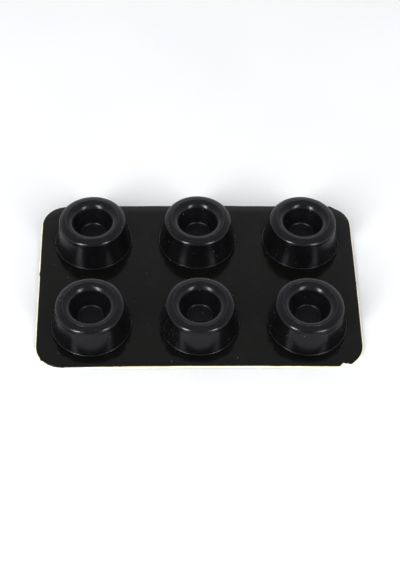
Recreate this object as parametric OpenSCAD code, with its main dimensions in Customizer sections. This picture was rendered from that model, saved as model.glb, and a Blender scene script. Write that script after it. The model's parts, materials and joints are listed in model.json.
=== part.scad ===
// A sheet of six self-adhesive, recessed vibration-damping feet.
// The feet are moulded in one thin sheet of black rubber, backed with a film
// of adhesive on a release liner. A die cut round each foot goes through the
// rubber and the adhesive and stops at the liner, so each foot peels off by
// itself and leaves a web of waste rubber with a round hole in it.
// Frame: +X along the long side, +Y to the back, +Z up. The origin is the
// middle of the liner's underside. Sizes are in millimetres.

/* [Foot] */
// Diameter of the foot's base, which is also the diameter of its die cut
foot_d = 22.3; // [21:0.1:22.4]
// Height of the foot from its adhesive to its top ring
foot_h = 9.5; // [9.2:0.1:12]
// Largest diameter of the rounded top ring
ring_d = 19; // [18.9:0.1:20]
// Radius of the gentle slope from the top of the ring out to its shoulder
slope_r = 3; // [2:0.05:3.3]
// Radius of the ring's tighter outer shoulder
shoulder_r = 1; // [0.6:0.05:1.3]
// Radius of the hollow blend between the wall and the shoulder
neck_r = 1.5; // [0.5:0.1:3]
// Height of the upright cut edge at the foot's base
lip_h = 0.65; // [0.5:0.05:0.9]
// Width of the small step on top of the cut edge
lip_w = 0.2; // [0.1:0.05:0.3]
// Slope of the moulded wall away from upright, in degrees
wall_draft = 11.5; // [11:0.5:16]

/* [Recess] */
// Diameter of the recess's mouth below its rounded edge
mouth_d = 10.3; // [9.6:0.1:10.6]
// Radius of the rounded edge of the mouth
mouth_r = 2.2; // [0.8:0.05:2.3]
// Height at which the bowl's wall meets the bevel above the ledge
ledge_z = 3.85; // [3.6:0.05:4.6]
// Diameter of the recess where its wall meets the bevel
ledge_d = 7.6; // [7:0.1:8]
// Width and height of the bevel between the wall and the flat ledge
ledge_bevel = 0.3; // [0.1:0.05:0.35]
// Height of the recess's floor
floor_z = 3.2; // [2.5:0.05:3.25]
// Diameter of the step down to the recess's floor
floor_d = 5.9; // [5:0.1:6.2]

/* [Sheet] */
// Distance between neighbouring feet, centre to centre, both ways
pitch = 30; // [26:0.5:36]
// Feet along the long side
columns = 3; // [3]
// Feet along the short side
rows = 2; // [2]
// Rubber left beyond the feet at the left and at the right
margin_side = 3.85; // [2:0.05:6]
// Rubber left in front of the front row
margin_front = 3; // [2:0.05:6]
// Rubber left behind the back row
margin_back = 2.4; // [2:0.05:6]
// Radius of the sheet's corners
corner_r = 7; // [4:0.5:10]
// Thickness of the rubber web
web_t = 0.45; // [0.3:0.05:0.6]
// Thickness of the adhesive film
adhesive_t = 0.15; // [0.1:0.05:0.3]
// Thickness of the release liner
liner_t = 0.2; // [0.15:0.05:0.4]
// How far the liner shows beyond the rubber all round
liner_edge = 0.4; // [0:0.1:1.5]
// Gap that the die leaves between a foot and the web
cut_gap = 0.1; // [0.05:0.05:0.3]

/* [Hidden] */
$fn = 96;

// A little extra length, so that cutting solids pass through what they cut
over = 1;
foot_r = foot_d / 2;
sheet_w = (columns - 1) * pitch + foot_d + 2 * margin_side;
sheet_d = (rows - 1) * pitch + foot_d + margin_front + margin_back;
// The feet sit off the middle of the sheet, because the front margin is wider
row_shift = (margin_front - margin_back) / 2;
adhesive_z = liner_t;
rubber_z = liner_t + adhesive_t;

// Flat bands in a quarter turn of a rounded edge
quarter = 12;

// How far the gentle slope leans over before the shoulder takes over, in degrees
slope_lean = 30;
// Middles of the shoulder's round and of the slope's, in the foot's own section
slope_far = slope_r - shoulder_r;
shoulder_c = [ring_d / 2 - shoulder_r, foot_h - slope_r + slope_far * cos(slope_lean)];
slope_c = shoulder_c - slope_far * [sin(slope_lean), cos(slope_lean)];
// Foot of the wall's straight line, the line's direction and its outward normal
wall_0 = [foot_r - lip_w, lip_h + lip_w / 2];
wall_dir = [-sin(wall_draft), cos(wall_draft)];
wall_out = [cos(wall_draft), sin(wall_draft)];
// The neck's round touches the wall's line and the shoulder's round from outside
neck_0 = wall_0 + neck_r * wall_out - shoulder_c;
neck_reach = shoulder_r + neck_r;
neck_s = -(neck_0 * wall_dir)
         - sqrt(pow(neck_0 * wall_dir, 2) - neck_0 * neck_0 + neck_reach * neck_reach);
neck_c = wall_0 + neck_r * wall_out + neck_s * wall_dir;
// Direction from the neck's middle to the shoulder's middle
neck_turn = atan2(shoulder_c[1] - neck_c[1], shoulder_c[0] - neck_c[0]);
// Middle of the mouth's round, and the bowl's wall that touches it
mouth_c = [mouth_d / 2 + mouth_r, foot_h - mouth_r];
ledge_out = [ledge_d / 2, ledge_z];
ledge_in = ledge_out - [ledge_bevel, ledge_bevel];
// Draft on the small step between the ledge and the floor
step_w = 0.1;
mouth_far = norm(mouth_c - ledge_out);
bowl_turn = atan2(mouth_c[1] - ledge_z, mouth_c[0] - ledge_out[0]) + asin(mouth_r / mouth_far);

function foot_x(column) = (column - (columns - 1) / 2) * pitch;
function foot_y(row) = (row - (rows - 1) / 2) * pitch + row_shift;

// Outline of the sheet with rounded corners, grown by edge on every side
module sheet_outline(edge) {
    w = sheet_w / 2 + edge;
    d = sheet_d / 2 + edge;
    r = corner_r + edge;
    union() {
        square([2 * w, 2 * (d - r)], center = true);
        square([2 * (w - r), 2 * d], center = true);
        for (x = [-1, 1], y = [-1, 1])
            translate([x * (w - r), y * (d - r)])
                circle(r = r);
    }
}

// A layer of the sheet with a hole where each foot was cut
module cut_layer(z, t) {
    difference() {
        translate([0, 0, z])
            linear_extrude(height = t)
                sheet_outline(0);
        for (column = [0 : columns - 1], row = [0 : rows - 1])
            translate([foot_x(column), foot_y(row), z - over])
                cylinder(r = foot_r + cut_gap, h = t + 2 * over);
    }
}

// Points along a round, from one direction to another
function round_edge(centre, r, from, to) =
    let (n = max(2, ceil(abs(to - from) / 90 * quarter)))
    [for (i = [0 : n])
        let (a = from + (to - from) * i / n)
        centre + r * [cos(a), sin(a)]];

// Section of one foot, from its axis out: base, wall, neck, shoulder, slope, bowl, bevel,
// ledge, step and floor
module foot_section() {
    polygon(concat(
        [[0, 0], [foot_r, 0], [foot_r, lip_h], wall_0],
        round_edge(neck_c, neck_r, 180 + wall_draft, neck_turn),
        round_edge(shoulder_c, shoulder_r, neck_turn - 180 + 90 / quarter,
                   90 - slope_lean - 90 / quarter),
        round_edge(slope_c, slope_r, 90 - slope_lean, 90),
        round_edge(mouth_c, mouth_r, 90, 90 + bowl_turn),
        [ledge_out,
         ledge_in,
         [floor_d / 2, ledge_in[1]],
         [floor_d / 2 - step_w, floor_z],
         [0, floor_z]]
    ));
}

// One rubber foot, standing on its adhesive
module foot(column, row) {
    color("#1b1b1e")
        translate([foot_x(column), foot_y(row), rubber_z])
            rotate_extrude()
                foot_section();
}

// The disc of adhesive under one foot
module foot_adhesive(column, row) {
    color("#c9c2ad")
        translate([foot_x(column), foot_y(row), adhesive_z])
            cylinder(r = foot_r, h = adhesive_t);
}

module release_liner() {
    color("#efe9da")
        linear_extrude(height = liner_t)
            sheet_outline(liner_edge);
}

module web_adhesive() {
    color("#c9c2ad")
        cut_layer(adhesive_z, adhesive_t);
}

module rubber_web() {
    color("#242427")
        cut_layer(rubber_z, web_t);
}

release_liner();
web_adhesive();
rubber_web();
foot(0, 1);  // foot_back_left
foot(1, 1);  // foot_back_middle
foot(2, 1);  // foot_back_right
foot(0, 0);  // foot_front_left
foot(1, 0);  // foot_front_middle
foot(2, 0);  // foot_front_right
foot_adhesive(0, 1);  // adhesive_back_left
foot_adhesive(1, 1);  // adhesive_back_middle
foot_adhesive(2, 1);  // adhesive_back_right
foot_adhesive(0, 0);  // adhesive_front_left
foot_adhesive(1, 0);  // adhesive_front_middle
foot_adhesive(2, 0);  // adhesive_front_right
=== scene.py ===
"""Looks for a sheet of six self-adhesive rubber feet on a release liner.

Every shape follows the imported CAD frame. The sheet is slightly bowed, so each piece
is made flat first and is then bent by the same rule, which keeps the layers together.
"""

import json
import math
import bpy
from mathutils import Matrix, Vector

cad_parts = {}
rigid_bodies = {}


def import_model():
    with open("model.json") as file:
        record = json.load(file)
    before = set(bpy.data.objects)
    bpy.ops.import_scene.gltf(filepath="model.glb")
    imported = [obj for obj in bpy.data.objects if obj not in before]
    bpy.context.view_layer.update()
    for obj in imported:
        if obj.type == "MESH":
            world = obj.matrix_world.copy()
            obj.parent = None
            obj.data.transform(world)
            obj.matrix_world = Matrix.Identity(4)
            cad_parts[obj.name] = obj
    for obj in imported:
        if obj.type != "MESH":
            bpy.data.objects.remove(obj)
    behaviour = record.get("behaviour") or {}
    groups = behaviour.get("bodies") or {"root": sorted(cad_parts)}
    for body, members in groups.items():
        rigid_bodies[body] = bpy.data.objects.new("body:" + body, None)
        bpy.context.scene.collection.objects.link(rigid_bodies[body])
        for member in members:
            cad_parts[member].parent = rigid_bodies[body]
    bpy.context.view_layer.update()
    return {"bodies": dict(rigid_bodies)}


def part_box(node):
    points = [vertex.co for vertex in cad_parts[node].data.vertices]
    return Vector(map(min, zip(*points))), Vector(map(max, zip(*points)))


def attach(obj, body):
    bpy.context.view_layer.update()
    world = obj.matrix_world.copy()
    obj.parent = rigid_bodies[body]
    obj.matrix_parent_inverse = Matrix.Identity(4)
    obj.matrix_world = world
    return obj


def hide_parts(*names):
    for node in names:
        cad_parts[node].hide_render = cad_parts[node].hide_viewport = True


bl_info = {
    "name": "Rubber foot sheet",
    "version": (1, 0, 0),
    "blender": (4, 5, 0),
    "location": "View3D > Sidebar > Feet",
    "description": "Builds a sheet of self-adhesive recessed rubber feet on a release liner",
    "category": "Object",
}

import bmesh
import bpy
from mathutils import Matrix, Vector, geometry, noise

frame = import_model()

MM = 0.001
SHEET = "sheet"
FEET = [body for body in frame["bodies"] if body != SHEET]
LINER_LOW, LINER_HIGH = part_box("release_liner")
WEB_LOW, WEB_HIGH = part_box("rubber_web")
GLUE_LOW, GLUE_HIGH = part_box("web_adhesive")
HALF_LENGTH = LINER_HIGH.x
HALF_WIDTH = LINER_HIGH.y

# Where the hand tore or dragged the sheet's cut edge: middle x and y in mm,
# half width in mm, and how far the edge stands out (a minus sign is a nick)
EDGE_MARKS = (
    (39.9, -28.7, 0.95, -0.95),
    (41.6, -27.9, 0.45, 0.12),
    (-43.6, -26.3, 0.35, 0.3),
    (39.7, 29.0, 0.7, 0.45),
    (-45.0, 3.2, 0.5, 0.15),
    (-22.0, -29.0, 0.25, 0.14),
    (-37.5, -29.0, 0.3, 0.12),
    (25.5, -29.0, 0.25, 0.1),
)

# For each foot: the side that was dragged when it left the mould, in degrees
# from +X, and how strong the drag marks are
DRAG_SIDE = {
    "front_left": (196, 0.6),
    "front_middle": (200, 1.0),
    "front_right": (178, 0.35),
    "back_left": (215, 0.35),
    "back_middle": (338, 0.8),
    "back_right": (336, 1.0),
}
# How far the marks reach to each side of there, in degrees
DRAG_REACH = 38
# Shares of the foot's height: where they end, and the height over which they fade
DRAG_TOP, DRAG_FADE = 0.86, 0.12
# Share of the ring's width: how far out from the axis they start
DRAG_INNER = 0.42

# How far apart two points are at most for the turned pieces' seam and poles to close
WELD = 0.002 * MM
# A shred of flash: the radius of its torn end, and its length
SHRED_TIP, SHRED_LENGTH = 0.02 * MM, 0.4 * MM

# Points along a long and a short side of the sheet's outline
LONG_STEPS, SHORT_STEPS = 180, 110
# Sizes of the slow and the quick waves in which the die-cut outline wanders
SLOW_WAVE, QUICK_WAVE = 6 * MM, 1.1 * MM
# An edge mark fades out at this many times its half width, and has bumps of this size
MARK_FADE, MARK_GRAIN = 1.6, 0.35 * MM
# A flat layer's inner points are still inside its outline when moved out by this factor
WELL_INSIDE = 1.03


def linear(code):
    """Linear red, green, blue and alpha of an sRGB hex colour such as #1b1b1e."""
    values = [int(code[i : i + 2], 16) / 255 for i in (1, 3, 5)]
    return [v / 12.92 if v <= 0.04045 else ((v + 0.055) / 1.055) ** 2.4 for v in values] + [1.0]


def length(name, text, default_mm, low=0.0, high=200.0):
    return bpy.props.FloatProperty(
        name=name,
        description=text,
        default=default_mm * MM,
        min=low * MM,
        max=high * MM,
        unit="LENGTH",
        precision=5,
    )


def colour(name, text, code):
    return bpy.props.FloatVectorProperty(
        name=name,
        description=text,
        subtype="COLOR",
        size=4,
        min=0.0,
        max=1.0,
        default=linear(code),
    )


# ---------------------------------------------------------------- settings


class FEET_PG_foot(bpy.types.PropertyGroup):
    ring_width: length("Ring width", "Largest diameter of the rounded top ring", 19.0)
    slope: length("Slope radius", "Radius of the ring's gentle outer slope", 3.0)
    slope_lean: bpy.props.FloatProperty(
        name="Slope lean",
        description="How far that slope leans over before the shoulder takes over",
        subtype="ANGLE",
        default=math.radians(30),
    )
    shoulder: length("Shoulder radius", "Radius of the ring's outer round", 1.0)
    crest: length("Crest", "Height of the fine line where the slope meets the mouth", 0.06)
    neck: length("Neck radius", "Radius of the hollow under the ring", 1.5)
    draft: bpy.props.FloatProperty(
        name="Wall draft",
        description="Slope of the moulded wall away from upright",
        subtype="ANGLE",
        default=math.radians(11.5),
    )
    lip_height: length("Lip height", "Height of the upright cut edge at the base", 0.65)
    lip_step: length("Lip step", "Width of the small step on top of the cut edge", 0.2)
    mouth_width: length("Mouth width", "Diameter of the recess below its round", 10.3)
    mouth_round: length("Mouth radius", "Radius of the recess's rounded mouth", 2.2)
    ledge_height: length("Ledge height", "Height of the bevel above the ledge", 3.85)
    ledge_width: length("Ledge width", "Diameter of the recess at that bevel", 7.6)
    ledge_bevel: length("Ledge bevel", "Width and height of that bevel", 0.3)
    floor_height: length("Floor height", "Height of the recess's floor", 3.2)
    floor_width: length("Floor width", "Diameter of the step to the floor", 5.9)
    floor_step: length("Floor step", "How far that step slopes in", 0.1)
    ragged: length("Ragged cut", "How far the die-cut edge wanders", 0.05)
    turns: bpy.props.IntProperty(
        name="Turns", description="Faces round the foot", default=180, min=24, max=360
    )


class FEET_PG_sheet(bpy.types.PropertyGroup):
    bow: length("Bow along", "How far the middle lifts, along the sheet's length", 0.68)
    crown: length("Bow across", "How far the middle lifts, across the sheet", 0.8)
    sink: length("Sink", "How far the rounded corners let the bowed sheet settle", 0.15)
    corner: length("Corner radius", "Radius of the rubber sheet's corners", 7.0)
    cut_gap: length("Cut gap", "Gap that the die leaves round each foot", 0.1)
    soft_edge: length("Soft edge", "Round on the rubber sheet's cut edges", 0.1)
    wander: length("Edge wander", "How far the sheet's outline wanders", 0.07)
    mesh_step: length("Mesh step", "Distance between the points of a flat layer", 2.0)


class FEET_PG_finish(bpy.types.PropertyGroup):
    rubber: colour("Foot rubber", "Moulded polyurethane of the feet", "#131314")
    web: colour("Web rubber", "Calendered polyurethane between the feet", "#131210")
    cut: colour("Cut rubber", "Edge of the rubber where the die cut it", "#1a1a1b")
    bloom: colour("Bloom", "Pale haze and drag marks on the rubber", "#5a5a60")
    glue: colour("Adhesive", "Straw-coloured pressure-sensitive adhesive", "#c6b78d")
    liner: colour("Liner", "Cream coated release paper", "#f0ebdb")
    dust: colour("Dust", "Fibres and grains that the rubber picked up", "#c9c7be")
    floor: colour("Floor", "Plain pale floor of the studio", "#d6d6d6")


class FEET_PG_stage(bpy.types.PropertyGroup):
    distance: length("Camera distance", "From the camera to what it looks at", 431.4, 50, 2000)
    azimuth: bpy.props.FloatProperty(
        name="Azimuth",
        description="Camera's turn round the sheet",
        subtype="ANGLE",
        default=math.radians(-2.95),
    )
    elevation: bpy.props.FloatProperty(
        name="Elevation",
        description="Camera's height above the horizon",
        subtype="ANGLE",
        default=math.radians(51.6),
    )
    roll: bpy.props.FloatProperty(
        name="Roll",
        description="Camera's turn about its own line of sight",
        subtype="ANGLE",
        default=math.radians(2.19),
    )
    aim: bpy.props.FloatVectorProperty(
        name="Aim",
        description="Point that the camera looks at",
        subtype="XYZ",
        unit="LENGTH",
        default=(0.5 * MM, -0.48 * MM, 0.65 * MM),
    )
    lens: bpy.props.FloatProperty(
        name="Lens", description="Focal length in millimetres", default=95.7, min=10, max=300
    )


GROUPS = {
    "rubber_foot": FEET_PG_foot,
    "rubber_foot_sheet": FEET_PG_sheet,
    "rubber_foot_finish": FEET_PG_finish,
    "rubber_foot_stage": FEET_PG_stage,
}


# ---------------------------------------------------------------- node helper

MATH, RANGE, MIX = "ShaderNodeMath", "ShaderNodeMapRange", "ShaderNodeMix"
NOISE, BUMP, STRETCH = "ShaderNodeTexNoise", "ShaderNodeBump", "ShaderNodeMapping"
MARKED = "GeometryNodeInputNamedAttribute"
RANDOM = "FunctionNodeRandomValue"
PAINT = "GeometryNodeSetMaterial"


def add(tree, kind, inputs=(), out=0, **settings):
    """Adds a node and returns one of its outputs, where it has any. The inputs are
    values or sockets, in order or by name or number. The settings are the node's own."""
    node = tree.nodes.new(kind)
    for key, value in settings.items():
        setattr(node, key, value)
    for key, value in inputs.items() if isinstance(inputs, dict) else enumerate(inputs):
        if isinstance(value, bpy.types.NodeSocket):
            tree.links.new(value, node.inputs[key])
        else:
            node.inputs[key].default_value = value
    return node.outputs[out] if node.outputs else None


# ---------------------------------------------------------------- materials
#
# Each maker returns three things. First the base colour, followed by the colours that
# lie over it, each with what it is mixed in by. Then the patterns that dent the surface,
# each with its depth in mm. Then the other inputs of the Principled shader.
# A noise's Scale is one over the size of its blobs.


def rubber_moulded(tree, place, finish):
    """Cast polyurethane from a polished mould: a deep black with a satin gloss.

    The eye sees a soft skin of roughness, faint flow waves a few millimetres long,
    a thin grey haze of bloom, and drag marks on the side that left the mould last.
    """
    waves = add(tree, NOISE, {"Vector": place, "Scale": 1 / (3.2 * MM), "Detail": 1.0})
    # real skin texture is about 0.05 mm; 0.3 mm is the finest that shows
    skin = add(tree, NOISE, {"Vector": place, "Scale": 1 / (0.3 * MM), "Detail": 3.0})
    haze = {"Vector": place, "Scale": 1 / (2.2 * MM), "Detail": 5.0, "Roughness": 0.65}
    haze = add(tree, RANGE, (add(tree, NOISE, haze), 0.5, 0.78, 0.0, 0.05))
    tall = add(tree, STRETCH, {"Vector": place, "Scale": (1.0, 1.0, 0.22)})
    scratch = {"Vector": tall, "Scale": 1 / (0.55 * MM), "Detail": 4.0, "Roughness": 0.7}
    scratch = add(tree, RANGE, (add(tree, NOISE, scratch), 0.55, 0.68))
    drag = add(tree, "ShaderNodeAttribute", out="Fac", attribute_name="drag")
    frost = add(tree, "ShaderNodeAttribute", out="Fac", attribute_name="frost")
    scuffed = add(tree, MATH, (drag, scratch), operation="MULTIPLY")
    pale = add(tree, MATH, (scuffed, 0.6), operation="MULTIPLY")
    matt = add(tree, MATH, (skin, frost), operation="MULTIPLY")
    gloss = add(tree, RANGE, (waves, 0.35, 0.65, 0.18, 0.24))
    gloss = add(tree, MATH, (scuffed, 0.2, gloss), operation="MULTIPLY_ADD")
    gloss = add(tree, MATH, (frost, 0.3, gloss), operation="MULTIPLY_ADD")
    return (
        (finish.rubber, (haze, finish.bloom), (pale, finish.bloom)),
        ((waves, 0.018), (skin, 0.003), (matt, 0.03), (scuffed, 0.05)),
        {"Roughness": gloss, "IOR": 1.46, "Specular Tint": (0.98, 0.97, 1.04, 1.0)},
    )


def rubber_sheet(tree, place, finish):
    """Thin flash of the same polyurethane, pressed flat between the mould's plates.

    It is a little glossier than the feet, with long shallow waves from the press.
    """
    waves = add(tree, NOISE, {"Vector": place, "Scale": 1 / (14 * MM), "Detail": 1.5})
    ripple = add(tree, NOISE, {"Vector": place, "Scale": 1 / (2.5 * MM)})
    skin = add(tree, NOISE, {"Vector": place, "Scale": 1 / (0.35 * MM)})
    haze = {"Vector": place, "Scale": 1 / (5 * MM), "Detail": 5.0, "Roughness": 0.65}
    haze = add(tree, RANGE, (add(tree, NOISE, haze), 0.5, 0.8, 0.0, 0.04))
    gloss = add(tree, RANGE, (ripple, 0.35, 0.65, 0.12, 0.17))
    return (
        (finish.web, (haze, finish.bloom)),
        ((waves, 0.05), (ripple, 0.004), (skin, 0.0015)),
        {"Roughness": gloss, "IOR": 1.5, "Specular IOR Level": 0.37},
    )


def rubber_cut(tree, place, finish):
    """The same rubber where a steel rule cut it: upright drag lines and a duller face."""
    tall = add(tree, STRETCH, {"Vector": place, "Scale": (1.0, 1.0, 0.2)})
    lines = {"Vector": tall, "Scale": 1 / (0.25 * MM), "Detail": 3.0, "Roughness": 0.6}
    lines = add(tree, NOISE, lines)
    pale = add(tree, RANGE, (lines, 0.35, 0.7))
    gloss = add(tree, RANGE, (lines, 0.3, 0.7, 0.25, 0.4))
    return (
        (finish.web, (pale, finish.cut)),
        ((lines, 0.02),),
        {"Roughness": gloss, "IOR": 1.5},
    )


def glue_film(tree, place, finish):
    """Pressure-sensitive rubber adhesive, cast as a film: straw colour, wet-looking,
    with the fine orange peel that it takes from the silicone of the liner."""
    peel = add(tree, NOISE, {"Vector": place, "Scale": 1 / (0.8 * MM)})
    flecks = add(tree, NOISE, {"Vector": place, "Scale": 1 / (0.4 * MM), "Detail": 3.0})
    flecks = add(tree, RANGE, (flecks, 0.6, 0.75, 0.0, 0.3))
    thick = add(tree, RANGE, (peel, 0.3, 0.7))
    gloss = add(tree, RANGE, (peel, 0.3, 0.7, 0.16, 0.28))
    darker = [0.75 * c for c in finish.glue[:3]] + [1.0]
    return (
        (finish.glue, (thick, darker), (flecks, finish.liner)),
        ((peel, 0.012),),
        {"Roughness": gloss, "IOR": 1.49},
    )


def liner_paper(tree, place, finish):
    """Clay-coated kraft paper with a silicone skin: cream, satin, faintly fibrous."""
    cloud = {"Vector": place, "Scale": 1 / (4 * MM), "Detail": 4.0, "Roughness": 0.6}
    cloud = add(tree, RANGE, (add(tree, NOISE, cloud), 0.35, 0.75))
    drawn = add(tree, STRETCH, {"Vector": place, "Scale": (1.0, 0.25, 1.0)})
    fibre = {"Vector": drawn, "Scale": 1 / (0.5 * MM), "Detail": 4.0, "Roughness": 0.65}
    fibre = add(tree, NOISE, fibre)
    threads = add(tree, RANGE, (fibre, 0.58, 0.72, 0.0, 0.35))
    gloss = add(tree, RANGE, (fibre, 0.3, 0.7, 0.38, 0.5))
    shade = [0.86 * finish.liner[0], 0.84 * finish.liner[1], 0.79 * finish.liner[2], 1.0]
    return (
        (finish.liner, (cloud, shade), (threads, shade)),
        ((fibre, 0.006),),
        {"Roughness": gloss, "IOR": 1.45},
    )


def dust_grain(tree, place, finish):
    """Paper fibres and grains of flash that static holds on the rubber."""
    tint = add(tree, NOISE, {"Vector": place, "Scale": 1 / (0.5 * MM)})
    tint = add(tree, RANGE, (tint, 0.4, 0.6))
    darker = [0.35 * c for c in finish.dust[:3]] + [1.0]
    return (finish.dust, (tint, darker)), (), {"Roughness": 0.7}


def floor_board(tree, place, finish):
    """White laminate sweep under the sheet: matt, with the faintest mottling."""
    cloud = add(tree, NOISE, {"Vector": place, "Scale": 1 / (60 * MM)})
    cloud = add(tree, RANGE, (cloud, 0.35, 0.65))
    shade = [0.97 * c for c in finish.floor[:3]] + [1.0]
    return (finish.floor, (cloud, shade)), (), {"Roughness": 0.6}


MAKERS = {
    "moulded_polyurethane": rubber_moulded,
    "pressed_polyurethane": rubber_sheet,
    "die_cut_polyurethane": rubber_cut,
    "adhesive_film": glue_film,
    "release_paper": liner_paper,
    "dust_grains": dust_grain,
    "white_laminate": floor_board,
}


def material(name):
    """The named material, made on its first use."""
    found = bpy.data.materials.get(name)
    if found:
        return found
    made = bpy.data.materials.new(name)
    made.use_nodes = True
    tree = made.node_tree
    tree.nodes.clear()
    place = add(tree, "ShaderNodeTexCoord", out="Object")
    finish = bpy.context.scene.rubber_foot_finish
    (base, *over), dents, inputs = MAKERS[name](tree, place, finish)
    for share, shade in over:
        base = add(tree, MIX, {0: share, 6: base, 7: shade}, 2, data_type="RGBA")
    inputs["Base Color"] = base
    under = {}
    for height, depth in dents:
        dent = {"Height": height, "Distance": depth * MM, "Strength": 1.0, **under}
        under = {"Normal": add(tree, BUMP, dent)}
    surface = add(tree, "ShaderNodeBsdfPrincipled", {**inputs, **under})
    add(tree, "ShaderNodeOutputMaterial", (surface,))
    return made


# ---------------------------------------------------------------- shapes


def bend(mesh):
    """Bows the flat piece up in its middle, and leans what stands on it outwards."""
    sheet = bpy.context.scene.rubber_foot_sheet
    for vertex in mesh.vertices:
        x, y, z = vertex.co
        along, across = x / HALF_LENGTH, y / HALF_WIDTH
        rise = sheet.bow * (1 - along * along) + sheet.crown * (1 - across * across)
        vertex.co = (
            x + z * 2 * sheet.bow * along / HALF_LENGTH,
            y + z * 2 * sheet.crown * across / HALF_WIDTH,
            z + rise - sheet.sink,
        )
    mesh.update()


def show(name, mesh):
    piece = bpy.data.objects.new(name, mesh)
    bpy.context.scene.collection.objects.link(piece)
    return piece


def smooth(mesh, angle=38):
    mesh.polygons.foreach_set("use_smooth", [True] * len(mesh.polygons))
    mesh.set_sharp_from_angle(angle=math.radians(angle))


def arc(centre, radius, start, end, step=6):
    """Points of a round from one direction to another, in degrees."""
    count = max(2, math.ceil(abs(end - start) / step))
    turns = [math.radians(start + (end - start) * i / count) for i in range(count + 1)]
    return [centre + radius * Vector((math.cos(t), math.sin(t))) for t in turns]


def eased(corners):
    """Outline through the corners (point, radius), with each corner rounded."""
    points = []
    for i, (corner, radius) in enumerate(corners):
        if not radius:
            points.append(corner)
            continue
        before = (corners[i - 1][0] - corner).normalized()
        after = (corners[i + 1][0] - corner).normalized()
        half = before.angle(after) / 2
        reach = radius / math.tan(half)
        first, last = corner + before * reach, corner + after * reach
        for t in (0.0, 0.2, 0.4, 0.6, 0.8, 1.0):
            points.append(first * (1 - t) ** 2 + corner * 2 * t * (1 - t) + last * t * t)
    return points


def supported(points, reach=0.05 * MM):
    """Adds a point near each end of every long flat, so that its shading stays flat."""
    found = points[:1]
    for a, b in zip(points, points[1:]):
        span = (b - a).length
        if span > 6 * reach:
            found += [a.lerp(b, reach / span), b.lerp(a, reach / span)]
        found.append(b)
    return found


def crest_radius(foot):
    """How far from its axis a foot is highest, where the ring's slope begins."""
    far = foot.slope - foot.shoulder
    return foot.ring_width / 2 - foot.shoulder - far * math.sin(foot.slope_lean)


def foot_outline(foot, radius, height):
    """Half section of a foot from its axis out: base, wall, neck, ring, bowl, floor."""
    lean = foot.slope_lean
    slope = Vector((crest_radius(foot), height - foot.slope))
    far = foot.slope - foot.shoulder
    shoulder = slope + far * Vector((math.sin(lean), math.cos(lean)))
    wall = Vector((radius - foot.lip_step, foot.lip_height + foot.lip_step / 2))
    up = Vector((-math.sin(foot.draft), math.cos(foot.draft)))
    out = Vector((math.cos(foot.draft), math.sin(foot.draft)))
    start = wall + foot.neck * out - shoulder
    reach = foot.shoulder + foot.neck
    along = -start.dot(up) - math.sqrt(start.dot(up) ** 2 - start.dot(start) + reach**2)
    neck = wall + foot.neck * out + along * up
    turn = math.degrees(math.atan2(shoulder.y - neck.y, shoulder.x - neck.x))
    mouth = Vector((foot.mouth_width / 2 + foot.mouth_round, height - foot.mouth_round))
    ledge = Vector((foot.ledge_width / 2, foot.ledge_height))
    far = (mouth - ledge).length
    bowl = math.degrees(
        math.atan2(mouth.y - ledge.y, mouth.x - ledge.x) + math.asin(foot.mouth_round / far)
    )
    draft = math.degrees(foot.draft)
    flat = ledge - Vector((foot.ledge_bevel, foot.ledge_bevel))
    inner = foot.floor_width / 2
    base = eased(
        [
            (Vector((0, 0)), 0),
            (Vector((radius, 0)), 0.04 * MM),
            (Vector((radius, foot.lip_height)), 0.07 * MM),
            (wall, 0.12 * MM),
            (wall + up * 2 * MM, 0),
        ]
    )[:-1]
    pit = eased(
        [
            (ledge + Vector((1, 2)) * MM, 0),
            (ledge, 0.05 * MM),
            (flat, 0.08 * MM),
            (Vector((inner, flat.y)), 0.07 * MM),
            (Vector((inner - foot.floor_step, foot.floor_height)), 0.1 * MM),
            (Vector((0, foot.floor_height)), 0),
        ]
    )[1:]
    bands = base
    bands += arc(neck, foot.neck, 180 + draft, turn)
    # the shoulder stops 5 degrees short at each end, where the next round takes over
    lean = math.degrees(lean)
    bands += arc(shoulder, foot.shoulder, turn - 180 + 5, 90 - lean - 5)
    bands += arc(slope, foot.slope, 90 - lean, 90)
    # the fine line that the mould leaves between the slope and the mouth
    bands += [Vector(((slope.x + mouth.x) / 2, height + foot.crest))]
    bands += arc(mouth, foot.mouth_round, 90, 90 + bowl)
    return supported(bands + pit)


def outline_object(name, points, is_cut):
    """A chain of points in the XZ plane, marked where the die cut the piece."""
    mesh = bpy.data.meshes.new(name)
    mesh.from_pydata(
        [(p.x, 0, p.y) for p in points], [(i, i + 1) for i in range(len(points) - 1)], []
    )
    cut = mesh.attributes.new("cut", "FLOAT", "POINT")
    cut.data.foreach_set("value", [1.0 if is_cut(p) else 0.0 for p in points])
    return show(name, mesh)


def new_tree(name, output, **inputs):
    """An empty Geometry Nodes tree with named inputs, and the sockets that give them."""
    tree = bpy.data.node_groups.new(name, "GeometryNodeTree")
    for key, kind in inputs.items():
        label = key.replace("_", " ")
        tree.interface.new_socket(label, in_out="INPUT", socket_type="NodeSocket" + kind)
    tree.interface.new_socket(output, in_out="OUTPUT", socket_type="NodeSocketGeometry")
    return tree, add(tree, "NodeGroupInput").node.outputs


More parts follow.
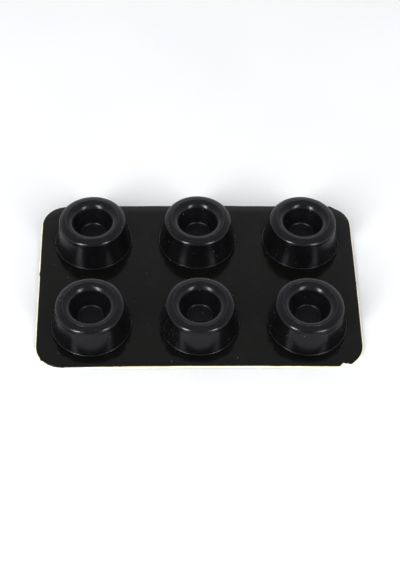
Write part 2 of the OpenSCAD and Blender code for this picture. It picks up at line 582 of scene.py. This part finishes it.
def turning_tree(name):
    """Geometry Nodes: turns a chain of points round its axis into a closed solid."""
    tree, given = new_tree(
        name,
        "Piece",
        Outline="Geometry",
        Turns="Int",
        Centre="Vector",
        Ragged_Cut="Float",
        Seed="Float",
        Body_Material="Material",
        Cut_Material="Material",
    )
    outline, turns = given["Outline"], given["Turns"]
    points = add(tree, "GeometryNodeAttributeDomainSize", (outline,))
    columns = add(tree, MATH, (turns, 1.0), operation="ADD")
    grid = add(tree, "GeometryNodeMeshGrid", {"Vertices X": columns, "Vertices Y": points})

    # each column of the grid is the outline, turned by one more step
    index = add(tree, "GeometryNodeInputIndex")
    step = add(tree, MATH, (index, 0.5), operation="ADD")
    step = add(tree, MATH, (step, points), operation="DIVIDE")
    step = add(tree, MATH, (step,), operation="FLOOR")
    before = add(tree, MATH, (step, points), operation="MULTIPLY")
    place = add(tree, MATH, (index, before), operation="SUBTRACT")
    position = add(tree, "GeometryNodeInputPosition")
    cut = add(tree, MARKED, {"Name": "cut"}, data_type="FLOAT")
    section, cut = (
        add(
            tree,
            "GeometryNodeSampleIndex",
            {"Geometry": outline, "Value": value, "Index": place},
            data_type=kind,
        )
        for value, kind in ((position, "FLOAT_VECTOR"), (cut, "FLOAT"))
    )
    section = add(tree, "ShaderNodeSeparateXYZ", (section,)).node.outputs
    angle = add(tree, MATH, (step, turns), operation="DIVIDE")
    angle = add(tree, MATH, (angle, 2 * math.pi), operation="MULTIPLY")
    cosine = add(tree, MATH, (angle,), operation="COSINE")
    sine = add(tree, MATH, (angle,), operation="SINE")

    # a full turn of the cut wanders about forty times; the wander closes on itself
    around = add(tree, "ShaderNodeCombineXYZ", (cosine, sine))
    push = {"Vector": around, "W": given["Seed"], "Scale": 6.0, "Detail": 4.0, "Roughness": 0.65}
    push = add(tree, NOISE, push, noise_dimensions="4D")
    push = add(tree, MATH, (push, 0.5), operation="SUBTRACT")
    for factor in (2.0, given["Ragged Cut"], cut):
        push = add(tree, MATH, (push, factor), operation="MULTIPLY")
    radius = add(tree, MATH, (section["X"], push), operation="ADD")
    x = add(tree, MATH, (radius, cosine), operation="MULTIPLY")
    y = add(tree, MATH, (radius, sine), operation="MULTIPLY")
    turned = add(tree, "ShaderNodeCombineXYZ", (x, y, section["Z"]))
    turned = add(tree, "ShaderNodeVectorMath", (turned, given["Centre"]), operation="ADD")

    solid = {"Geometry": grid, "Name": "cut", "Value": cut}
    solid = add(tree, "GeometryNodeStoreNamedAttribute", solid, data_type="FLOAT", domain="POINT")
    solid = add(tree, "GeometryNodeSetPosition", {"Geometry": solid, "Position": turned})
    solid = add(tree, "GeometryNodeMergeByDistance", {"Geometry": solid, "Distance": WELD})
    solid = add(tree, "GeometryNodeRealizeInstances", (solid,))
    solid = add(tree, PAINT, {"Geometry": solid, "Material": given["Body Material"]})
    cut = add(tree, MARKED, {"Name": "cut"}, data_type="FLOAT")
    cut = add(tree, MATH, (cut, 0.9), operation="GREATER_THAN")
    solid = {"Geometry": solid, "Selection": cut, "Material": given["Cut Material"]}
    add(tree, "NodeGroupOutput", (add(tree, PAINT, solid),))
    return tree


def planted(tree, given, **inputs):
    """Ends a tree: puts copies of a piece on points and makes them one plain mesh."""
    copies = add(tree, "GeometryNodeInstanceOnPoints", inputs)
    copies = add(tree, "GeometryNodeRealizeInstances", (copies,))
    copies = add(tree, PAINT, {"Geometry": copies, "Material": given["Material"]})
    add(tree, "NodeGroupOutput", (copies,))
    return tree


def scatter_tree(name):
    """Geometry Nodes: scatters small grains over the parts of a surface that face up."""
    tree, given = new_tree(
        name,
        "Grains",
        Surface="Geometry",
        Per_Square_Metre="Float",
        Grain_Size="Float",
        Seed="Int",
        Material="Material",
    )
    facing = add(tree, "GeometryNodeInputNormal")
    facing = add(tree, "ShaderNodeSeparateXYZ", (facing,), "Z")
    facing = add(tree, MATH, (facing, 0.05), operation="GREATER_THAN")
    points = add(
        tree,
        "GeometryNodeDistributePointsOnFaces",
        {
            "Mesh": given["Surface"],
            "Selection": facing,
            "Density": given["Per Square Metre"],
            "Seed": given["Seed"],
        },
    )
    grain = {"Radius": given["Grain Size"], "Subdivisions": 1}
    grain = add(tree, "GeometryNodeMeshIcoSphere", grain)
    drawn = []
    for low, high, offset in (
        ((0, 0, 0), (6.28, 6.28, 6.28), 3.0),
        ((0.3, 0.3, 0.2), (1.7, 0.8, 0.6), 5.0),
    ):
        seed = add(tree, MATH, (given["Seed"], offset), operation="ADD")
        limits = {0: low, 1: high, "Seed": seed}
        drawn.append(add(tree, RANDOM, limits, data_type="FLOAT_VECTOR"))
    turn, scale = drawn
    return planted(tree, given, Points=points, Instance=grain, Rotation=turn, Scale=scale)


def flash_tree(name):
    """Geometry Nodes: torn shreds of flash that stand along the cut round a foot."""
    tree, given = new_tree(
        name,
        "Flash",
        Path="Geometry",
        Share="Float",
        Shred_Size="Float",
        Seed="Int",
        Material="Material",
    )
    chance = add(tree, MARKED, {"Name": "drag"}, data_type="FLOAT")
    chance = add(tree, MATH, (chance, given["Share"]), operation="MULTIPLY")
    draw = add(tree, RANDOM, {2: 0.0, 3: 1.0, "Seed": given["Seed"]}, 1, data_type="FLOAT")
    keep = add(tree, MATH, (draw, chance), operation="LESS_THAN")
    shred = {
        "Vertices": 5,
        "Radius Top": SHRED_TIP,
        "Radius Bottom": given["Shred Size"],
        "Depth": SHRED_LENGTH,
    }
    shred = add(tree, "GeometryNodeMeshCone", shred)
    tilt = {0: (-1.1, -1.1, 0.0), 1: (1.1, 1.1, 6.28), "Seed": 17}
    tilt = add(tree, RANDOM, tilt, data_type="FLOAT_VECTOR")
    scale = {0: (0.5, 0.25, 0.3), 1: (1.3, 0.6, 1.2), "Seed": 29}
    scale = add(tree, RANDOM, scale, data_type="FLOAT_VECTOR")
    path = given["Path"]
    return planted(
        tree, given, Points=path, Selection=keep, Instance=shred, Rotation=tilt, Scale=scale
    )


TREES = {
    "Turned piece": turning_tree,
    "Scattered grains": scatter_tree,
    "Flash along the cut": flash_tree,
}


def grown(carrier, name, **inputs):
    """The mesh that the named Geometry Nodes tree makes on carrier, which is removed."""
    tree = bpy.data.node_groups.get(name) or TREES[name](name)
    modifier = carrier.modifiers.new(name, "NODES")
    modifier.node_group = tree
    ids = {
        item.name: item.identifier
        for item in tree.interface.items_tree
        if item.item_type == "SOCKET" and item.in_out == "INPUT"
    }
    for key, value in inputs.items():
        modifier[ids[key.replace("_", " ")]] = value
    bpy.context.view_layer.update()
    graph = bpy.context.evaluated_depsgraph_get()
    mesh = bpy.data.meshes.new_from_object(carrier.evaluated_get(graph), depsgraph=graph)
    carrier.modifiers.remove(modifier)
    old = carrier.data
    bpy.data.objects.remove(carrier)
    bpy.data.meshes.remove(old)
    if not mesh.polygons:
        raise RuntimeError(f"{name} made no faces")
    return mesh


def face_outwards(mesh):
    solid = bmesh.new()
    solid.from_mesh(mesh)
    bmesh.ops.recalc_face_normals(solid, faces=solid.faces)
    if solid.calc_volume(signed=True) < 0:
        bmesh.ops.reverse_faces(solid, faces=solid.faces)
    solid.to_mesh(mesh)
    solid.free()


def turned_piece(name, points, is_cut, centre, materials, ragged, seed, turns):
    mesh = grown(
        outline_object(name + "_outline", points, is_cut),
        "Turned piece",
        Turns=turns,
        Centre=centre,
        Ragged_Cut=ragged,
        Seed=float(seed),
        Body_Material=material(materials[0]),
        Cut_Material=material(materials[1]),
    )
    face_outwards(mesh)
    smooth(mesh)
    return mesh


def sheet_outline(edge, settings, seed=0.0, wander=0.0, marked=True):
    """Rounded outline of the sheet, grown by edge, as a loop of points."""
    half_x = WEB_HIGH.x + edge
    half_y = (WEB_HIGH.y - WEB_LOW.y) / 2 + edge
    radius = settings.corner + edge
    corners = ((1, 1, 0), (-1, 1, 90), (-1, -1, 180), (1, -1, 270))
    loop = []
    for i, (sx, sy, start) in enumerate(corners):
        centre = Vector((sx * (half_x - radius), sy * (half_y - radius)))
        turn = arc(centre, radius, start, start + 90, 4)
        nx, ny, _ = corners[(i + 1) % 4]
        along_x = sy == ny
        steps = LONG_STEPS if along_x else SHORT_STEPS
        last = turn[-1]
        if along_x:
            goal = Vector((nx * (half_x - radius), sy * half_y))
        else:
            goal = Vector((sx * half_x, ny * (half_y - radius)))
        loop += turn
        loop += [last.lerp(goal, k / steps) for k in range(1, steps)]
    shifted = []
    for p in loop:
        out = Vector((p.x / half_x, p.y / half_y))
        out = Vector((out.x**5, out.y**5)).normalized()
        slow = Vector((p.x / SLOW_WAVE, p.y / SLOW_WAVE, seed))
        quick = Vector((p.x / QUICK_WAVE, p.y / QUICK_WAVE, seed))
        push = wander * noise.noise(slow) + 0.5 * wander * noise.noise(quick)
        if marked:
            for mx, my, width, depth in EDGE_MARKS:
                away = math.hypot(p.x / MM - mx, p.y / MM - my) / width
                if away < MARK_FADE:
                    rough = 1 + 0.5 * noise.noise(p.to_3d() / MARK_GRAIN)
                    push += depth * MM * rough * (1 - (away / MARK_FADE) ** 2)
        shifted.append(p + out * push)
    return shifted


def inside(p, loop):
    hit = False
    for a, b in zip(loop, loop[1:] + loop[:1]):
        if (a.y > p.y) != (b.y > p.y) and p.x < a.x + (p.y - a.y) / (b.y - a.y) * (b.x - a.x):
            hit = not hit
    return hit


def flat_layer(name, low, high, loops, materials, soft, step):
    """A flat layer of the sheet. loops(inset) gives its outline and then its holes,
    each moved into the material by inset. soft is the round on its upper edges."""
    solid = bmesh.new()
    tiers = [(0.0, low), (0.0, high - soft)]
    tiers += [
        (soft * (1 - math.cos(t)), high - soft + soft * math.sin(t))
        for t in (math.radians(30), math.radians(60), math.radians(90))
    ]
    rings = []
    for inset, z in tiers:
        rings.append([[solid.verts.new((p.x, p.y, z)) for p in loop] for loop in loops(inset)])
    for tier, (under, over) in enumerate(zip(rings, rings[1:])):
        for a, b in zip(under, over):
            for i in range(len(a)):
                k = (i + 1) % len(a)
                face = solid.faces.new((a[i], a[k], b[k], b[i]))
                face.material_index = 1 if tier == 0 else 0
    fill = loops(soft)
    outer, holes = fill[0], fill[1:]
    rows = int((WEB_HIGH.y - WEB_LOW.y) / step)
    columns = int(2 * WEB_HIGH.x / step)
    middles = []
    for hole in holes:
        middle = sum(hole, Vector((0, 0))) / len(hole)
        middles.append((middle, (hole[0] - middle).length))
    inner = []
    for i in range(-columns // 2, columns // 2 + 1):
        for j in range(-rows // 2, rows // 2 + 1):
            p = Vector((i * step, j * step))
            clear = all((p - c).length > r + 0.5 * step for c, r in middles)
            corner = Vector((WEB_HIGH.x - step - abs(p.x), WEB_HIGH.y - step - abs(p.y)))
            if clear and min(corner) > 0 and inside(p * WELL_INSIDE, outer):
                inner.append(p)
    for ring, z in ((rings[0], low), (rings[-1], high)):
        known = [v for loop in ring for v in loop]
        flat = [v.co.xy for v in known] + inner
        edges, first = [], 0
        for loop in ring:
            edges += [(first + i, first + (i + 1) % len(loop)) for i in range(len(loop))]
            first += len(loop)
        made = geometry.delaunay_2d_cdt(flat, edges, [], 0, 1e-9)
        corners = {}
        for i, sources in enumerate(made[3]):
            here = next((known[s] for s in sources if s < len(known)), None)
            corners[i] = here or solid.verts.new((made[0][i].x, made[0][i].y, z))
        bounds = [v.co.xy for v in ring[0]]
        for face in made[2]:
            middle = sum((made[0][i] for i in face), Vector((0, 0))) / len(face)
            if any((middle - c).length < r for c, r in middles) or not inside(middle, bounds):
                continue
            solid.faces.new([corners[i] for i in face])
    bmesh.ops.recalc_face_normals(solid, faces=solid.faces)
    loose = [v for v in solid.verts if not v.link_faces]
    bmesh.ops.delete(solid, geom=loose, context="VERTS")
    mesh = bpy.data.meshes.new(name)
    solid.to_mesh(mesh)
    solid.free()
    for entry in materials:
        mesh.materials.append(material(entry))
    smooth(mesh)
    bend(mesh)
    return show(name, mesh)


def foot_places():
    """Each foot's body, and the middle and radius of its base."""
    places = {}
    for body in FEET:
        low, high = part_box("foot_" + body)
        places[body] = ((low.xy + high.xy) / 2, (high.x - low.x) / 2)
    return places


def sheet_loops(edge, with_holes, settings, seed, wander, marked=True):
    """A function that gives a layer's outline and holes, inset by any amount."""

    def loops(inset):
        found = [sheet_outline(edge - inset, settings, seed, wander, marked)]
        if with_holes:
            for centre, radius in foot_places().values():
                size = radius + settings.cut_gap + inset
                found.append(arc(centre, size, 360, 0, 2.5)[:-1])
        return found

    return loops


def drag_at(body, x, y, z, height):
    """How strongly a point of a foot's wall was dragged when it left the mould."""
    side, strength = DRAG_SIDE[body]
    off = math.degrees(math.atan2(y, x)) - side
    off = abs((off + 180) % 360 - 180)
    around = max(0.0, 1 - off / DRAG_REACH) ** 0.7
    level = max(0.0, min(1.0, (DRAG_TOP * height - z) / (DRAG_FADE * height)))
    return strength * around * level


def frost_at(p, foot):
    """How matt a point of a foot is: the mould's own grain shows on the floor and the
    ledge of the recess, and faintly on the wall and between the mouth and the crest."""
    out = math.hypot(p.x, p.y)
    if p.z < foot.ledge_height + 0.1 * MM and out < foot.ledge_width / 2 + 0.1 * MM:
        return 1.0 if out < foot.floor_width / 2 else 0.7
    if p.z > foot.ledge_height and foot.mouth_width / 2 < out < crest_radius(foot):
        return 0.12
    if out > foot.ring_width / 2 and p.z < foot.ledge_height:
        return 0.15
    return 0.0


# ---------------------------------------------------------------- operators


class FEET_OT_liner(bpy.types.Operator):
    """Makes the release liner, the paper under the whole sheet"""

    bl_idname = "feet.liner"
    bl_label = "Release liner"

    def execute(self, context):
        settings = context.scene.rubber_foot_sheet
        edge = LINER_HIGH.x - WEB_HIGH.x
        loops = sheet_loops(edge, False, settings, 3.0, 2 * settings.wander, False)
        piece = flat_layer(
            "liner",
            LINER_LOW.z,
            LINER_HIGH.z,
            loops,
            ("release_paper", "release_paper"),
            0.03 * MM,
            settings.mesh_step,
        )
        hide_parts("release_liner")
        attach(piece, SHEET)
        return {"FINISHED"}


class FEET_OT_web(bpy.types.Operator):
    """Makes the rubber web between the feet and the film of adhesive under it"""

    bl_idname = "feet.web"
    bl_label = "Rubber web"

    def execute(self, context):
        settings = context.scene.rubber_foot_sheet
        web = flat_layer(
            "web",
            WEB_LOW.z,
            WEB_HIGH.z,
            sheet_loops(0.0, True, settings, 1.0, settings.wander),
            ("pressed_polyurethane", "die_cut_polyurethane"),
            settings.soft_edge,
            settings.mesh_step,
        )
        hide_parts("rubber_web")
        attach(web, SHEET)
        glue = flat_layer(
            "web_glue",
            GLUE_LOW.z,
            GLUE_HIGH.z,
            sheet_loops(-0.03 * MM, True, settings, 1.0, settings.wander),
            ("adhesive_film", "adhesive_film"),
            0.01 * MM,
            settings.mesh_step,
        )
        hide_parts("web_adhesive")
        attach(glue, SHEET)
        return {"FINISHED"}


class FEET_OT_feet(bpy.types.Operator):
    """Makes the rubber feet and the disc of adhesive under each one"""

    bl_idname = "feet.feet"
    bl_label = "Feet"

    def execute(self, context):
        foot = context.scene.rubber_foot
        for number, (body, (centre, radius)) in enumerate(foot_places().items()):
            low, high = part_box("foot_" + body)
            height = high.z - low.z
            outline = foot_outline(foot, radius, height)
            # the die cut the upright edge, up to the round at its top
            mesh = turned_piece(
                "foot_" + body,
                outline,
                lambda p: p.x > radius - 0.1 * MM and p.y < foot.lip_height + 0.01 * MM,
                (centre.x, centre.y, low.z),
                ("moulded_polyurethane", "die_cut_polyurethane"),
                foot.ragged,
                number * 7 + 1,
                foot.turns,
            )
            drag = mesh.attributes.new("drag", "FLOAT", "POINT")
            values = []
            for v in mesh.vertices:
                x, y, z = v.co.x - centre.x, v.co.y - centre.y, v.co.z - low.z
                outer = math.hypot(x, y) > DRAG_INNER * foot.ring_width
                values.append(drag_at(body, x, y, z, height) if outer else 0.0)
            drag.data.foreach_set("value", values)
            frost = mesh.attributes.new("frost", "FLOAT", "POINT")
            base = Vector((centre.x, centre.y, low.z))
            values = [frost_at(v.co - base, foot) for v in mesh.vertices]
            frost.data.foreach_set("value", values)
            bend(mesh)
            piece = show("rubber_" + body, mesh)
            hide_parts("foot_" + body)
            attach(piece, body)

            low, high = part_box("adhesive_" + body)
            thick = high.z - low.z
            disc = [Vector((0, 0)), Vector((radius - 0.02 * MM, 0)), Vector((radius, 0.02 * MM))]
            disc += [Vector((radius, thick)), Vector((0, thick))]
            mesh = turned_piece(
                "glue_" + body,
                disc,
                lambda p: False,
                (centre.x, centre.y, low.z),
                ("adhesive_film", "adhesive_film"),
                0.0,
                number,
                foot.turns,
            )
            bend(mesh)
            piece = show("glue_" + body, mesh)
            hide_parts("adhesive_" + body)
            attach(piece, body)
        return {"FINISHED"}


class FEET_OT_flash(bpy.types.Operator):
    """Makes the torn shreds of rubber that stand along each foot's cut"""

    bl_idname = "feet.flash"
    bl_label = "Flash"

    def execute(self, context):
        foot = context.scene.rubber_foot
        for number, (body, (centre, radius)) in enumerate(foot_places().items()):
            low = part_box("foot_" + body)[0]
            ring = arc(Vector((0, 0)), radius - 0.03 * MM, 0, 360, 1)[:-1]
            mesh = bpy.data.meshes.new("path_" + body)
            top = low.z + foot.lip_height
            mesh.from_pydata([(centre.x + p.x, centre.y + p.y, top) for p in ring], [], [])
            drag = mesh.attributes.new("drag", "FLOAT", "POINT")
            # a few shreds stand all round, and more of them where the foot was dragged
            values = [0.12 + drag_at(body, p.x, p.y, 0, radius) for p in ring]
            drag.data.foreach_set("value", values)
            mesh = grown(
                show("path_" + body, mesh),
                "Flash along the cut",
                Share=0.4,
                Shred_Size=0.13 * MM,
                Seed=11 + number,
                Material=material("die_cut_polyurethane"),
            )
            bend(mesh)
            piece = show("flash_" + body, mesh)
            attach(piece, body)
        return {"FINISHED"}


class FEET_OT_dust(bpy.types.Operator):
    """Scatters dust over the rubber"""

    bl_idname = "feet.dust"
    bl_label = "Dust"

    def execute(self, context):
        hosts = [("web", SHEET, "web", 6000.0)]
        hosts += [("rubber_" + body, body, "foot", 26000.0) for body in FEET]
        for number, (host, body, slot, density) in enumerate(hosts):
            carrier = show("dust_host", bpy.data.objects[host].data.copy())
            mesh = grown(
                carrier,
                "Scattered grains",
                Per_Square_Metre=density,
                Grain_Size=0.11 * MM,
                Seed=5 + number,
                Material=material("dust_grains"),
            )
            piece = show("dust_" + body, mesh)
            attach(piece, body)
        return {"FINISHED"}


class FEET_OT_stage(bpy.types.Operator):
    """Makes the floor, the studio lights and the camera"""

    bl_idname = "feet.stage"
    bl_label = "Stage"

    def execute(self, context):
        scene = context.scene
        view = scene.rubber_foot_stage
        mesh = bpy.data.meshes.new("floor")
        size = 3.0
        under = LINER_LOW.z - 0.02 * MM
        square = ((-size, -size), (size, -size), (size, size), (-size, size))
        mesh.from_pydata([(x, y, under) for x, y in square], [], [(0, 1, 2, 3)])
        mesh.materials.append(material("white_laminate"))
        show("floor", mesh)

        def toward(azimuth, elevation):
            a, e = math.radians(azimuth), math.radians(elevation)
            return Vector(
                (math.sin(a) * math.cos(e), -math.cos(a) * math.cos(e), math.sin(e))
            )

        turn = math.degrees(view.azimuth)
        # name, azimuth from the camera's side, elevation, distance, width, height, watts
        lamps = (
            ("softbox_left", turn - 39.5, 36, 0.85, 0.18, 0.56, 6.6),
            ("softbox_right", turn + 45.5, 36, 0.85, 0.18, 0.56, 4.2),
            ("top_panel", turn, 84, 1.0, 0.8, 0.6, 0.4),
            ("back_panel", 180 + turn, 22, 1.0, 1.8, 0.6, 0.9),
        )
        for name, azimuth, elevation, distance, width, height, watts in lamps:
            lamp = bpy.data.lights.new(name, "AREA")
            lamp.shape = "RECTANGLE"
            lamp.size, lamp.size_y = width, height
            lamp.energy = watts
            lamp.color = (0.96, 0.975, 1.0)
            back = toward(azimuth, elevation)
            holder = bpy.data.objects.new(name, lamp)
            holder.location = back * distance
            holder.rotation_euler = back.to_track_quat("Z", "Y").to_euler()
            holder.visible_camera = False
            scene.collection.objects.link(holder)

        world = bpy.data.worlds.new("studio")
        world.use_nodes = True
        tree = world.node_tree
        background = tree.nodes["Background"]
        background.inputs["Color"].default_value = (0.985, 0.99, 1, 1)
        # the room is lightest low down, and darkest on the side where the viewer stands
        way = add(tree, "ShaderNodeTexCoord", out="Generated")
        height = add(tree, "ShaderNodeSeparateXYZ", (way,), "Z")
        height = add(tree, RANGE, (height, 0.15, 0.8, 1.45, 0.76))
        ways = (way, toward(turn, 40))
        dark = add(tree, "ShaderNodeVectorMath", ways, "Value", operation="DOT_PRODUCT")
        dark = add(tree, RANGE, (dark, 0.2, 0.95, 1.0, 0.5))
        light = add(tree, MATH, (height, dark), operation="MULTIPLY")
        tree.links.new(light, background.inputs["Strength"])
        scene.world = world
        scene.view_settings.view_transform = "Standard"
        scene.view_settings.gamma = 0.77

        back = toward(turn, math.degrees(view.elevation))
        right = (-back).cross(Vector((0, 0, 1))).normalized()
        up = right.cross(-back)
        c, s = math.cos(view.roll), math.sin(view.roll)
        across, over = right * c + up * s, up * c - right * s
        spot = Vector(view.aim) + back * view.distance
        data = bpy.data.cameras.new("camera")
        data.lens = view.lens
        data.sensor_width = 36.0
        data.clip_start, data.clip_end = 0.01, 20.0
        camera = bpy.data.objects.new("camera", data)
        camera.matrix_world = Matrix(
            (
                (across.x, over.x, back.x, spot.x),
                (across.y, over.y, back.y, spot.y),
                (across.z, over.z, back.z, spot.z),
                (0, 0, 0, 1),
            )
        )
        scene.collection.objects.link(camera)
        scene.camera = camera
        return {"FINISHED"}


STEPS = (
    FEET_OT_stage,
    FEET_OT_liner,
    FEET_OT_web,
    FEET_OT_feet,
    FEET_OT_flash,
    FEET_OT_dust,
)


class FEET_PT_panel(bpy.types.Panel):
    """Lists the sizes, the colours and the steps"""

    bl_idname = "FEET_PT_panel"
    bl_label = "Rubber foot sheet"
    bl_space_type = "VIEW_3D"
    bl_region_type = "UI"
    bl_category = "Feet"

    def draw(self, context):
        for name, group in GROUPS.items():
            box = self.layout.box()
            for prop in group.__annotations__:
                box.prop(getattr(context.scene, name), prop)
        for step in STEPS:
            self.layout.operator(step.bl_idname)


def register():
    for group in GROUPS.values():
        bpy.utils.register_class(group)
    for name, group in GROUPS.items():
        setattr(bpy.types.Scene, name, bpy.props.PointerProperty(type=group))
    for step in STEPS:
        bpy.utils.register_class(step)
    bpy.utils.register_class(FEET_PT_panel)


def unregister():
    bpy.utils.unregister_class(FEET_PT_panel)
    for step in reversed(STEPS):
        bpy.utils.unregister_class(step)
    for name, group in GROUPS.items():
        delattr(bpy.types.Scene, name)
        bpy.utils.unregister_class(group)


def main():
    register()
    for step in STEPS:
        group, name = step.bl_idname.split(".")
        getattr(getattr(bpy.ops, group), name)()


if __name__ == "__main__":
    main()
